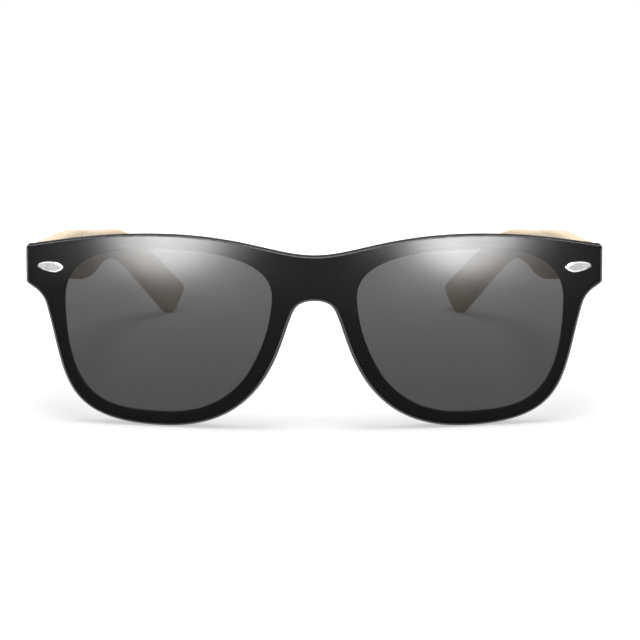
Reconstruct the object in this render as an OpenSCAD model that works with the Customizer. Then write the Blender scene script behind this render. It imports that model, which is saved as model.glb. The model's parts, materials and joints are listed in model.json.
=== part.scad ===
// Sunglasses with a one-piece wrap lens on a moulded front and bamboo temples on spring hinges.
// Millimetres. +Z is up, the lens faces -Y, and left is the wearer's left, +X.

/* [Front] */
// Width across both ends of the front
front_w = 146; // [138:1:156]
// Width of one eye opening
eye_w = 52.5; // [49:0.5:55]
// Height of one eye opening
eye_h = 42.2; // [38:0.1:46]
// Distance between the two eye openings
bridge_w = 21; // [18:0.5:24]
// Height of the bridge over the nose
bridge_h = 11; // [9:0.1:14]
// How far the bridge dips below the brow
bridge_dip = 4.8; // [2:0.1:7]
// Width of the nose gap at its arch
nose_w = 12; // [10.5:0.5:13.5]
// Rim above the eye opening
rim_top = 3.5; // [2.5:0.1:5]
// Rim below the eye opening
rim_bottom = 3.3; // [2.5:0.1:5]
// Rim beside the eye opening
rim_side = 4.8; // [4:0.1:5.5]
// Radius of the curve round the face
wrap_r = 250; // [230:5:290]
// Radius of the curve from brow to cheek
dome_r = 110; // [95:5:110]
// Thickness of the lens
lens_t = 1.6; // [1.4:0.1:2.2]
// Thickness of the frame behind the lens
frame_t = 2.6; // [2.2:0.1:3.4]
// How far the frame stands out round the lens
ledge = 0.4; // [0.3:0.1:0.7]

/* [Ends] */
// Straight height of the front's outer ends
end_h = 8.8; // [8:0.1:9.6]
// How far the ends drop below the brow
end_dip = 3.6; // [3:0.1:5]
// Thickness of the ends, behind the curve round the face
end_t = 9.7; // [9.1:0.1:12]
// How far inside the end's outer face the temple's outer face lies
temple_step = 0.8; // [0.5:0.1:1.2]
// Middle of the temple's end below the top of the front's end
butt_drop = 5.3; // [5:0.1:6]

/* [Nose pads] */
// Length of a nose pad
pad_l = 16; // [13:0.5:19]
// How far a nose pad stands out behind the frame
pad_reach = 3.2; // [2:0.1:4]
// Middle of a nose pad out from the side of the nose gap
pad_out = 6.2; // [5.4:0.1:7]
// Middle of a nose pad below the top of the nose gap
pad_drop = 14.6; // [12:0.1:17]

/* [Temples] */
// Length of a temple along its middle line
temple_l = 142.5; // [134:0.5:150]
// Thickness of a temple
temple_t = 4.8; // [4.4:0.1:5.2]
// Thickness of the tip
tip_t = 4.4; // [3.8:0.1:4.8]
// Height of a temple at the hinge
butt_h = 10.4; // [9.6:0.1:11.4]
// Height of a temple where the hook starts
neck_h = 8.9; // [8.4:0.1:10]
// Height of the tip
tip_h = 13.1; // [10:0.1:13.5]
// How much the upper edge swells
crest_h = 1.5; // [0.5:0.1:2]
// Where along the temple the upper edge is highest
crest_at = 37; // [32:1:44]
// Length over which the upper edge falls again
crest_fall = 63; // [50:1:66]
// How much the lower edge swells
swell_h = 4.1; // [2:0.1:4.5]
// Where along the temple the lower edge is lowest
swell_at = 63; // [58:1:68]
// Length over which the lower edge swells
swell_rise = 52; // [44:1:58]
// Length over which the lower edge draws in again
swell_fall = 47; // [40:1:52]
// Where along the temple the hook starts
hook_at = 100; // [94:1:106]
// Length of the hook's bend
hook_bend = 17; // [14:1:28]
// How steeply the hook turns down
hook_angle = 40; // [30:1:45]
// Where along the temple it starts to turn in towards the head
toe_at = 84; // [78:1:90]
// Length of the turn towards the head
toe_bend = 25; // [20:1:34]
// How far it turns in towards the head
toe_angle = 27; // [18:1:28]
// Radius on a temple's long edges
edge_r = 1.5; // [0.8:0.1:1.9]
// Radius of the tip's corners
tip_round = 3.2; // [2.4:0.1:4]
// Gap between the temple's end and the front
butt_gap = 0.15; // [0.1:0.05:0.3]

/* [Hinges] */
// Radius of the hinge knuckles
knuckle_r = 1.8; // [1.6:0.1:1.9]
// Height of the middle knuckle
tang_h = 2.6; // [2.2:0.1:3]
// Height of each outer knuckle
leaf_h = 1.3; // [1.1:0.1:1.6]
// Radius of the hinge screw
screw_r = 0.7; // [0.5:0.05:0.9]
// Radius of the hinge screw's head
screw_head_r = 1.25; // [1.1:0.05:1.5]
// Height of the hinge screw's head
screw_head_h = 0.7; // [0.5:0.05:1]
// Hinge pin to the temple's inner face
pin_inset = 1.6; // [1.5:0.05:1.8]
// Hinge pin ahead of the end's back face
pin_ahead = 1.5; // [1.2:0.1:1.8]
// Hinge's middle below the middle of the temple's end
pin_drop = 1.1; // [0.7:0.1:1.5]
// Length of the neck between the middle knuckle and the housing
neck_l = 0.9; // [0.8:0.1:1.2]
// Depth of the hinge leaf's anchor in the front
anchor_d = 2.4; // [1.8:0.1:2.8]
// Width of the hinge leaf's anchor
anchor_w = 4.2; // [3.6:0.1:4.4]
// Length of the spring housing's box
box_l = 12.5; // [12:0.1:14]
// Height of the spring housing
box_h = 4.6; // [4.2:0.1:5]
// Wall between the spring's bore and the wearer
box_wall = 0.5; // [0.4:0.05:0.6]
// How deep the housing is let into the temple
inlay = 1.2; // [1:0.1:1.4]
// Length of the housing's screw plate
plate_l = 7.2; // [6.6:0.1:8]
// Radius of the spring's bore
bore_r = 1.4; // [1.3:0.05:1.5]
// Radius of the sliding shaft
shaft_r = 0.6; // [0.45:0.05:0.7]
// Length of the guide bush
bush_l = 2; // [1.5:0.1:2.5]
// Length of the spring at rest
spring_l = 6.6; // [6:0.1:7]
// Thickness of the spring's wire
wire_d = 0.35; // [0.25:0.05:0.4]
// Number of turns of the spring
spring_turns = 6; // [4:1:6]
// Length of the collar that the spring pushes on
stop_l = 1.3; // [1:0.1:1.6]
// How far the shaft runs through its collar
shaft_past = 0.3; // [0.2:0.1:0.5]
// Room left in the bore behind the shaft
bore_room = 0.4; // [0.3:0.1:0.6]
// Radius of the housing's screws
fixing_r = 0.55; // [0.45:0.05:0.65]
// Radius of the housing's screw heads
fixing_head_r = 1; // [0.9:0.05:1.1]
// Length of the housing's screws
fixing_l = 3.8; // [3:0.1:4]

/* [Plaques] */
// Length of a plaque
plaque_l = 7.2; // [6:0.1:8]
// Height of a plaque
plaque_h = 2.6; // [2:0.1:3.2]
// Thickness of a plaque
plaque_t = 0.7; // [0.6:0.1:1]
// Width of a plaque's bevel
plaque_bevel = 0.35; // [0.2:0.05:0.4]
// Plaque's middle in from the front's outer end
plaque_in = 6.8; // [6:0.1:8]
// Plaque's middle below the top of the end
plaque_drop = 5; // [4:0.1:6]
// How far the plaque leans down towards the nose
plaque_lean = 1; // [0:1:8]
// Radius of a plaque's pins
plaque_pin_r = 0.45; // [0.35:0.05:0.55]
// How far a plaque's pins reach into the frame
plaque_pin_in = 1.5; // [1:0.1:1.8]

/* [Fits] */
// Glue film between the lens and the frame
glue_gap = 0.08; // [0.04:0.01:0.12]
// Running clearance round the hinge screw and the shaft
run_gap = 0.03; // [0.02:0.01:0.06]
// Clearance between hinge knuckles
side_gap = 0.06; // [0.04:0.01:0.1]
// Room round the knuckles for the temple to fold
knuckle_gap = 0.4; // [0.3:0.05:0.6]
// Clearance round the spring's collar in its bore
collar_gap = 0.15; // [0.1:0.01:0.2]
// Clearance round pieces that are pressed, glued or screwed in
seat_gap = 0.02; // [0.01:0.01:0.04]

/* [Hidden] */
$fn = 48;
// Slices of the large curved surfaces, and how far a cut runs past what it cuts
fine = 256;
past = 1;

// Heights and widths of the front's outline
eye_in = bridge_w / 2;
eye_out = eye_in + eye_w;
eye_low = rim_bottom;
front_top = rim_bottom + eye_h + rim_top;
brow_share = 0.53;
brow_x = eye_in + brow_share * eye_w;
bridge_top = front_top - bridge_dip;
arch_top = bridge_top - bridge_h;
end_x = front_w / 2;
end_top = front_top - end_dip;
end_low = end_top - end_h;
end_round = 0.8;
end_depth = wrap_r - sqrt(wrap_r * wrap_r - end_x * end_x) + end_t;

// The hinge's place: the temple's inner face, its end and the pin
butt_y = end_depth + butt_gap;
butt_z = end_top - butt_drop;
temple_out = end_x - temple_step;
temple_in = temple_out - temple_t;
pin_x = temple_in - pin_inset;
pin_y = end_depth - pin_ahead;
pin_z = butt_z - pin_drop;
leaf_y = pin_y - knuckle_r - knuckle_gap;
lug_x = pin_x + knuckle_r + knuckle_gap;
knuckles_h = tang_h + 2 * side_gap + 2 * leaf_h;
box_y = pin_y + knuckle_r + neck_l;
plate_y = box_y + box_l;
stop_y = box_y + bush_l + spring_l;
shaft_end = stop_y + stop_l + shaft_past;
bore_end = shaft_end + bore_room;
fixings_y = [for (share = [0.42, 0.8]) plate_y + share * plate_l];

// Points on a cubic curve, without its last point, and on a chain of such curves that share ends
curve_steps = 12;
function cubic(a, b, c, d) = [
    for (i = [0:curve_steps - 1])
        let (t = i / curve_steps, s = 1 - t)
            s * s * s * a + 3 * s * s * t * b + 3 * s * t * t * c + t * t * t * d];
function chain(p) = [for (k = [0:3:len(p) - 4]) each cubic(p[k], p[k + 1], p[k + 2], p[k + 3])];

// Outline moved sideways, to the right of the way that its points run
function moved(p, d) = [
    for (i = [0:len(p) - 1])
        let (a = p[(i + len(p) - 1) % len(p)], b = p[(i + 1) % len(p)], t = (b - a) / norm(b - a))
            p[i] + d * [t[1], -t[0]]];

// Half of the front's outline, from the top of the bridge out to the end and back to the nose.
// Every third point lies on the outline, and the two between steer the curve.
side_way = [0.27, 0.963];
nose_way = [0.37, -0.93];
neck = [eye_out + rim_side, end_low - 0.66 * end_h];
nose = [nose_w / 2, arch_top - 0.38 * nose_w];
half_control = [
    [0, bridge_top], [0.46 * bridge_w, bridge_top], [brow_x - 0.39 * eye_w, front_top],
    [brow_x, front_top], [brow_x + 0.29 * eye_w, front_top], [end_x - end_h, end_top + 0.15 * end_h],
    [end_x - end_round, end_top], [end_x - end_round / 2, end_top], [end_x, end_top - end_round / 2],
    [end_x, end_top - end_round], [end_x, end_top - end_h / 3], [end_x, end_low + end_h / 3],
    [end_x, end_low], [end_x, end_low - 0.17 * end_h], neck + 0.49 * end_h * side_way,
    neck, neck - 0.43 * eye_h * side_way, [brow_x + 0.53 * eye_w, 0],
    [brow_x, 0], [brow_x - 0.49 * eye_w, 0], nose + 0.19 * eye_h * nose_way,
    nose, nose - 0.2 * bridge_h * nose_way, [0.38 * nose_w, arch_top],
    [0, arch_top]];
half_outline = chain(half_control);
outline = [
    each half_outline,
    [0, arch_top],
    for (i = [len(half_outline) - 1:-1:1]) [-half_outline[i][0], half_outline[i][1]]];

// Outline of an eye opening, as shares of its width and height
eye_shares = [
    [0, 0.73], [0, 0.95], [0.28, 1],
    [0.57, 1], [0.86, 1], [1, 0.885],
    [1, 0.675], [1, 0.025], [0.81, 0],
    [0.52, 0], [0.055, 0], [0, 0.627],
    [0, 0.73]];
eye_outline = chain([for (p = eye_shares) [eye_in + p[0] * eye_w, eye_low + p[1] * eye_h]]);

// Middle line of a temple before it is tilted: angle of the hook, turn towards the head, and place
function ramp(s, start, length) = min(max((s - start) / length, 0), 1);
function bent(s, start, length, angle) =
    let (
        r = length / (angle * PI / 180),
        a = angle * ramp(s, start, length),
        rest = max(s - start - length, 0))
        [min(s, start) + r * sin(a) + rest * cos(angle), r * (1 - cos(a)) + rest * sin(angle)];
function hook_turn(s) = hook_angle * ramp(s, hook_at, hook_bend);
function toe_turn(s) = toe_angle * ramp(s, toe_at, toe_bend);
function middle(s) =
    let (down = bent(s, hook_at, hook_bend, hook_angle), inward = bent(s, toe_at, toe_bend, toe_angle))
        [-inward[1], down[0], -down[1]];

// Height above and below the middle line, and thickness
function swell(s, at, rise, fall) =
    let (d = (s - at) / (s < at ? rise : fall))
        abs(d) < 1 ? (1 + cos(180 * d)) / 2 : 0;
function base_h(s) = butt_h
    + (neck_h - butt_h) * ramp(s, 0, hook_at)
    + (tip_h - neck_h) * ramp(s, hook_at, temple_l - hook_at);
function above(s) = base_h(s) / 2 + crest_h * swell(s, crest_at, crest_at, crest_fall);
function below(s) = base_h(s) / 2 + swell_h * swell(s, swell_at, swell_rise, swell_fall);
function thick(s) = temple_t + (tip_t - temple_t) * ramp(s, swell_at, temple_l - swell_at);

// The tip is rounded: how much narrower it is at a distance from its end
tip_edge = tip_round / 2;
function drawn_in(s, r) = let (d = temple_l - s) d >= r ? 0 : r - sqrt(r * r - (r - d) * (r - d));

// Ring of a temple: a rectangle with round corners, square to the middle line
corner_steps = 4;
function ring(s) =
    let (
        m = middle(s),
        a = s == 0 ? 0 : hook_turn(s),
        b = toe_turn(s),
        up = [-sin(b) * sin(a), cos(b) * sin(a), cos(a)],
        out = [cos(b), sin(b), 0],
        narrow = drawn_in(s, tip_round),
        half_t = thick(s) / 2 - drawn_in(s, tip_edge),
        top = above(s) - narrow,
        low = below(s) - narrow,
        r = min(edge_r, half_t * 0.9))
        [for (corner = [0:3], k = [0:corner_steps])
            let (
                turn = 90 * corner + 90 * k / corner_steps,
                u = (corner == 0 || corner == 3) ? half_t - r : r - half_t,
                v = corner < 2 ? top - r : r - low)
                m + (u + r * cos(turn)) * out + (v + r * sin(turn)) * up];

// Rings stand closer together on the hook and at the tip, where the last one all but closes the end
straight_rings = 15;
hook_rings = 13;
tip_rings = 5;
tip_share = 0.999;
hook_end = temple_l - tip_round;
stations = [
    for (i = [0:straight_rings - 1]) hook_at * i / straight_rings,
    for (i = [0:hook_rings - 1]) hook_at + (hook_end - hook_at) * i / hook_rings,
    for (i = [0:tip_rings]) hook_end + tip_round * sin(90 * i / tip_rings) * tip_share];
rings = [for (s = stations) ring(s)];
ring_n = 4 * (corner_steps + 1);

// The temple hangs from the hinge and is tilted until its first point meets the ground
tilt = min([
    for (r = rings, p = r)
        let (reach = norm([p[1], p[2]]))
            if (reach > butt_z) atan2(p[2], p[1]) + asin(butt_z / reach)]);
function tilted(p) = [
    temple_out - temple_t / 2 + p[0],
    butt_y + p[1] * cos(tilt) + p[2] * sin(tilt),
    butt_z + p[2] * cos(tilt) - p[1] * sin(tilt)];
// The first ring stays upright, so that the temple's end is flat against the front
temple_rings = [
    for (i = [0:len(rings) - 1])
        [for (p = rings[i]) i == 0 ? [temple_out - temple_t / 2 + p[0], butt_y, butt_z + p[2]] : tilted(p)]];

// Depth of the lens's outside at a point of the outline, and the depth at the middle of the open pair
function outside_y(p) =
    let (reach = wrap_r - dome_r + sqrt(dome_r * dome_r - pow(p[1] - front_top / 2, 2)))
        wrap_r - sqrt(reach * reach - p[0] * p[0]);
foremost = min([for (p = moved(outline, ledge)) outside_y(p)]);
rearmost = max([for (r = temple_rings, p = r) p[1]]);
middle_y = (foremost + rearmost) / 2;

// Faces of a closed tube through rings of n points
function tube_faces(count, n) = [
    [for (k = [n - 1:-1:0]) k],
    [for (k = [0:n - 1]) (count - 1) * n + k],
    for (i = [0:count - 2], k = [0:n - 1])
        let (a = i * n + k, b = i * n + (k + 1) % n)
            each [[a, b, a + n], [b, b + n, a + n]]];

// Spring: a wire wound round the shaft, its first and last half turns closing up
spring_r = (bore_r + shaft_r) / 2;
wire_sides = 6;
turn_rings = 8;
spring_rings = spring_turns * turn_rings;
spring_y = box_y + bush_l;
function wire_middle(i) =
    let (share = i / spring_rings, turn = 360 * i / turn_rings)
        [spring_r * cos(turn), wire_d / 2 + side_gap + share * (spring_l - wire_d - 2 * side_gap),
            spring_r * sin(turn)];
wire_points = [
    for (i = [0:spring_rings], k = [0:wire_sides - 1])
        let (
            turn = 360 * i / turn_rings,
            round = 360 * k / wire_sides,
            out = [cos(turn), 0, sin(turn)])
            wire_middle(i) + wire_d / 2 * (cos(round) * out - sin(round) * [0, 1, 0])];
spring_gap = min([
    for (i = [0:spring_rings - turn_rings], k = [-2:2])
        norm(wire_middle(i + turn_rings) - wire_middle(max(i + k, 0)))]) - wire_d;
echo(spring_gap = spring_gap);

// Pairs: everything is drawn at the wearer's left, with the curve round the face starting at y = 0
module on_left() translate([0, -middle_y, 0]) children();
module on_right() translate([0, -middle_y, 0]) mirror([1, 0, 0]) children();

// A cylinder from one depth to another, or from one height to another, at a place in the plan
module rod_y(r, y1, y2) translate([pin_x, y1, pin_z]) rotate([-90, 0, 0]) cylinder(r = r, h = y2 - y1);
module post(r, z1, z2) translate([pin_x, pin_y, pin_z + z1]) cylinder(r = r, h = z2 - z1);
module block(low, high) translate(low) cube(high - low);

// An outline standing upright, and the doubly curved body whose outside the front follows
module upright(points, depth) translate([0, depth, 0]) rotate([90, 0, 0])
    linear_extrude(depth + past) polygon(points);
module barrel(inset) translate([0, wrap_r, 0]) rotate_extrude($fn = fine) intersection() {
    translate([wrap_r - dome_r, front_top / 2]) circle(r = dome_r - inset, $fn = fine);
    translate([wrap_r - dome_r, -past]) square([dome_r + past, front_top + 2 * past]);
}

// A plaque's place on the lens: its middle, turned square to the lens and leaned towards the nose
plaque_x = end_x - plaque_in;
plaque_z = end_top - plaque_drop;
dome_turn = asin((plaque_z - front_top / 2) / dome_r);
wrap_reach = wrap_r - dome_r * (1 - cos(dome_turn));
wrap_turn = asin(plaque_x / wrap_reach);
module on_plaque() translate([plaque_x, wrap_r - wrap_reach * cos(wrap_turn), plaque_z])
    rotate([0, 0, wrap_turn]) rotate([90 - dome_turn, 0, 0]) rotate([0, 0, plaque_lean]) children();
plaque_pin_at = plaque_l * 0.25;
plaque_pin_l = lens_t + glue_gap + plaque_pin_in;
module plaque_pins(gap) for (side = [-1, 1])
    translate([side * plaque_pin_at, 0, -plaque_pin_l - gap])
        cylinder(r = plaque_pin_r + gap, h = plaque_pin_l + gap + plaque_t / 2);

// The front's ends: a deep block that stops the temple and a shallow one that holds the hinge leaf,
// both as high as the temple's end
lug_wall = 1.6;
lug_top = butt_z + butt_h / 2;
module lug_blocks() {
    block([lug_x, 0, end_low - end_h], [end_x + past, end_depth, lug_top]);
    block(
        [pin_x - anchor_w / 2 - lug_wall, 0, pin_z - knuckles_h / 2 - lug_wall],
        [end_x, leaf_y, lug_top]);
}

// Nose pad: the rim beside the nose swells backwards, as far as a ball that is sunk in it reaches
pad_ball_r = (pad_l * pad_l / 4 + pad_reach * pad_reach) / (2 * pad_reach);
pad_x = nose_w / 2 + pad_out;
pad_y = lens_t + glue_gap + frame_t + pad_reach - pad_ball_r;
pad_z = arch_top - pad_drop;
module nose_pad() translate([pad_x, pad_y, pad_z]) sphere(r = pad_ball_r, $fn = 96);

// What stands out behind the frame, and what is cut out of it, on one side
module half_backs() {
    lug_blocks();
    nose_pad();
}
module half_cuts() {
    upright(eye_outline, end_depth + past);
    leaf_anchor(seat_gap);
    on_plaque() plaque_pins(seat_gap);
}

module front_frame() color([0.07, 0.07, 0.08]) difference() {
    intersection() {
        upright(outline, end_depth);
        barrel(lens_t + glue_gap);
    }
    difference() {
        barrel(lens_t + glue_gap + frame_t);
        half_backs();
        mirror([1, 0, 0]) half_backs();
    }
    half_cuts();
    mirror([1, 0, 0]) half_cuts();
}

module shield_lens() color([0.12, 0.12, 0.13, 0.85]) difference() {
    intersection() {
        upright(moved(outline, ledge), end_depth);
        barrel(0);
    }
    barrel(lens_t);
    on_plaque() plaque_pins(seat_gap);
    mirror([1, 0, 0]) on_plaque() plaque_pins(seat_gap);
}

module plaque() color([0.78, 0.78, 0.8]) on_plaque() {
    flat = plaque_l * 0.24;
    translate([0, 0, side_gap]) hull() {
        linear_extrude(plaque_t - plaque_bevel) polygon([
            [-plaque_l / 2, 0], [-flat, -plaque_h / 2], [flat, -plaque_h / 2],
            [plaque_l / 2, 0], [flat, plaque_h / 2], [-flat, plaque_h / 2]]);
        linear_extrude(plaque_t) polygon([
            [2 * plaque_bevel - plaque_l / 2, 0],
            [-flat, plaque_bevel - plaque_h / 2], [flat, plaque_bevel - plaque_h / 2],
            [plaque_l / 2 - 2 * plaque_bevel, 0],
            [flat, plaque_h / 2 - plaque_bevel], [-flat, plaque_h / 2 - plaque_bevel]]);
    }
    plaque_pins(0);
}

// The leaf's anchor, let into the front, with a gap all round when it is cut out
module leaf_anchor(gap) block(
    [pin_x - anchor_w / 2 - gap, leaf_y - anchor_d - gap, pin_z - knuckles_h / 2 - gap],
    [pin_x + anchor_w / 2 + gap, leaf_y + gap, pin_z + knuckles_h / 2 + gap]);

module front_leaf() color([0.62, 0.62, 0.64]) difference() {
    web = knuckle_r * 0.8;
    inner = tang_h / 2 + side_gap;
    union() {
        leaf_anchor(0);
        for (z = [-inner - leaf_h, inner]) {
            post(knuckle_r, z, z + leaf_h);
            block([pin_x - web, leaf_y - anchor_d / 2, pin_z + z], [pin_x + web, pin_y, pin_z + z + leaf_h]);
        }
    }
    post(screw_r + run_gap, -knuckles_h, knuckles_h);
}

module hinge_screw() color([0.72, 0.72, 0.74]) difference() {
    head_z = knuckles_h / 2 + side_gap;
    slot_w = 0.3;
    union() {
        post(screw_r, -knuckles_h / 2, head_z + screw_head_h / 2);
        post(screw_head_r, head_z, head_z + screw_head_h);
    }
    block(
        [pin_x - slot_w / 2, pin_y - 2 * screw_head_r, pin_z + head_z + screw_head_h / 2],
        [pin_x + slot_w / 2, pin_y + 2 * screw_head_r, pin_z + head_z + 2 * screw_head_h]);
}

module hinge_tang() color([0.66, 0.66, 0.68]) difference() {
    neck_w = knuckle_r * 1.2;
    neck_h = tang_h * 0.9;
    union() {
        post(knuckle_r, -tang_h / 2, tang_h / 2);
        block(
            [pin_x - neck_w / 2, pin_y, pin_z - neck_h / 2],
            [pin_x + neck_w / 2, box_y - side_gap, pin_z + neck_h / 2]);
        rod_y(shaft_r, pin_y + knuckle_r, shaft_end);
    }
    post(screw_r + run_gap, -tang_h, tang_h);
}

module guide_bush() color([0.72, 0.58, 0.3]) difference() {
    rod_y(bore_r - seat_gap, box_y, box_y + bush_l);
    rod_y(shaft_r + run_gap, box_y - past, box_y + bush_l + past);
}

module hinge_spring() color([0.55, 0.56, 0.58]) translate([pin_x, spring_y, pin_z])
    polyhedron(wire_points, tube_faces(spring_rings + 1, wire_sides));

module spring_stop() color([0.6, 0.6, 0.62]) difference() {
    rod_y(bore_r - collar_gap, stop_y, stop_y + stop_l);
    rod_y(shaft_r + seat_gap, stop_y - past, stop_y + stop_l + past);
}

// The housing's plan: a box round the bore, sloping down to a plate that lies flush in the temple
box_round = 0.6;
box_in = bore_r + box_wall;
module housing_plan(gap) translate([pin_x, 0]) polygon([
    [-box_in, box_y + box_round], [box_round - box_in, box_y], [pin_inset + inlay + gap, box_y],
    [pin_inset + inlay + gap, plate_y + plate_l + gap], [pin_inset, plate_y + plate_l + gap],
    [pin_inset, plate_y + box_in / 2], [box_round - box_in, plate_y], [-box_in, plate_y - box_round]]);

// A fixing screw's countersunk head and shank, pointing outwards from the temple's inner face
head_depth = 0.7;
point_l = 0.8;
module fixing_shape(gap) for (y = fixings_y) translate([temple_in, y, pin_z]) rotate([0, 90, 0]) {
    cylinder(r1 = fixing_head_r + gap, r2 = fixing_r + gap, h = head_depth);
    cylinder(r = fixing_r + gap, h = fixing_l - point_l + gap);
}

module hinge_housing() color([0.68, 0.68, 0.7]) difference() {
    translate([0, 0, pin_z - box_h / 2]) linear_extrude(box_h) housing_plan(0);
    rod_y(bore_r, box_y - past, bore_end);
    fixing_shape(seat_gap);
}

module housing_screws() color([0.75, 0.75, 0.77]) {
    slot_w = 0.25;
    difference() {
        union() {
            fixing_shape(0);
            for (y = fixings_y) translate([temple_in + fixing_l - point_l, y, pin_z]) rotate([0, 90, 0])
                cylinder(r1 = fixing_r, r2 = fixing_r / 4, h = point_l);
        }
        for (y = fixings_y) block(
            [temple_in - past, y - slot_w / 2, pin_z - 2 * fixing_head_r],
            [temple_in + head_depth / 2, y + slot_w / 2, pin_z + 2 * fixing_head_r]);
    }
}

module temple() color([0.86, 0.72, 0.5]) difference() {
    polyhedron([for (r = temple_rings) each r], tube_faces(len(temple_rings), ring_n));
    block(
        [temple_in - temple_t, box_y - seat_gap, pin_z - box_h / 2 - seat_gap],
        [temple_in + inlay + seat_gap, plate_y + plate_l + seat_gap, pin_z + box_h / 2 + seat_gap]);
    for (y = fixings_y) translate([temple_in, y, pin_z]) rotate([0, 90, 0])
        cylinder(r = fixing_r + seat_gap, h = fixing_l + seat_gap);
}

on_left() front_frame();
on_left() shield_lens();
on_left() plaque();  // left_plaque
on_right() plaque();  // right_plaque
on_left() front_leaf();  // left_front_leaf
on_right() front_leaf();  // right_front_leaf
on_left() hinge_screw();  // left_hinge_screw
on_right() hinge_screw();  // right_hinge_screw
on_left() hinge_tang();  // left_hinge_tang
on_right() hinge_tang();  // right_hinge_tang
on_left() guide_bush();  // left_guide_bush
on_right() guide_bush();  // right_guide_bush
on_left() hinge_spring();  // left_hinge_spring
on_right() hinge_spring();  // right_hinge_spring
on_left() spring_stop();  // left_spring_stop
on_right() spring_stop();  // right_spring_stop
on_left() hinge_housing();  // left_hinge_housing
on_right() hinge_housing();  // right_hinge_housing
on_left() housing_screws();  // left_housing_screws
on_right() housing_screws();  // right_housing_screws
on_left() temple();  // left_temple
on_right() temple();  // right_temple
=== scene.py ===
"""Looks of a pair of sunglasses: a shield lens on a moulded front, bamboo temples and spring hinges."""

import json
import math
from collections import namedtuple
from contextlib import contextmanager

import bpy
from mathutils import Matrix, Vector


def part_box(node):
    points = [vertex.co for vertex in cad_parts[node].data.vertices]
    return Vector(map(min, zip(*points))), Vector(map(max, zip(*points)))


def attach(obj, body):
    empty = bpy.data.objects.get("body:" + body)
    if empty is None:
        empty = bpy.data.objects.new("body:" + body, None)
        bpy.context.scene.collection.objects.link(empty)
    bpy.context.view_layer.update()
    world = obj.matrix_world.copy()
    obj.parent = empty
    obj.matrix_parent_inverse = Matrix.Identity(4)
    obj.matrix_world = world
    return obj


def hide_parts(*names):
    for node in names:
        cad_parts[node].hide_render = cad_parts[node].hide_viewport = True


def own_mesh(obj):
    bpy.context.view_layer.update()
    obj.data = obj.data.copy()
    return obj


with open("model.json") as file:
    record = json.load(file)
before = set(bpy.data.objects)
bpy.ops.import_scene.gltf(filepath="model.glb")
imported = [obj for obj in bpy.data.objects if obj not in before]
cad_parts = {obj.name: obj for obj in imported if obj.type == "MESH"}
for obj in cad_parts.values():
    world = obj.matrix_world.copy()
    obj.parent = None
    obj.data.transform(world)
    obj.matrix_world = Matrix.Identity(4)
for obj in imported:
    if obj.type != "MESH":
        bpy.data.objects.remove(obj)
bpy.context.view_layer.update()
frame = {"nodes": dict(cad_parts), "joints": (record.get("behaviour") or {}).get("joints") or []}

bl_info = {
    "name": "Bamboo sunglasses",
    "version": (1, 0, 0),
    "blender": (4, 5, 0),
    "location": "3D View > Sidebar > Sunglasses",
    "description": "Models sunglasses with a shield lens, bamboo temples and spring hinges",
    "category": "Add Mesh",
}

SIDES = {"left": 1, "right": -1}
FRONT_LOW, FRONT_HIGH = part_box("front_frame")
TEMPLE_LOW, TEMPLE_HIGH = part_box("left_temple")
LEAF_LOW, LEAF_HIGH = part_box("left_front_leaf")
HOUSING_LOW, HOUSING_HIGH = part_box("left_hinge_housing")
SPRING_LOW, SPRING_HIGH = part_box("left_hinge_spring")
SCREW_LOW, SCREW_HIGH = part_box("left_hinge_screw")
BUSH_LOW, BUSH_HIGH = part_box("left_guide_bush")
SHAFT = (BUSH_LOW + BUSH_HIGH) / 2
SCREW_MIDDLE = (SCREW_LOW + SCREW_HIGH) / 2

# From the pin to the face of the shallow block: the knuckle's radius and the room round it
KNUCKLE_ROOM = 0.0022
# How far the shelf behind the hinge leaf reaches past it
SHELF_PAST = 0.0005
# Room round a hinge piece that is let into the frame or a temple
POCKET_GAP = 0.00002
# Points closer than this are merged: in a half of the front, in a tube and in a finished piece
HALF_MERGE = 0.000004
TUBE_MERGE = 0.000002
FINE_MERGE = 0.000001
# Points closer than this to the middle lie on it
ON_AXIS = 1e-7
# Most of a section's width that its rounded edges may take
ROUND_SHARE = 0.9
# Degrees at which a rounded edge has its points
ROUND_STEPS = (0, 22.5, 45, 67.5, 90)
# Range that most values of a noise lie in
NOISE_SPAN = (0.3, 0.7)


def number(name, description, value, **limits):
    """A number that the user may change."""
    return bpy.props.FloatProperty(name=name, description=description, default=value, **limits)


def size(name, description, metres):
    """A length that the user may change."""
    return number(name, description, metres, min=0, precision=5, unit="LENGTH")


def turn(name, description, degrees):
    """An angle that the user may change."""
    return number(name, description, math.radians(degrees), subtype="ANGLE")


def share(name, description, value):
    """A share between none and all that the user may change."""
    return number(name, description, value, min=0, max=1, subtype="FACTOR")


def colour(name, description, value):
    """A colour that the user may change."""
    return bpy.props.FloatVectorProperty(
        name=name, description=description, default=value, min=0, max=1, subtype="COLOR"
    )


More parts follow.
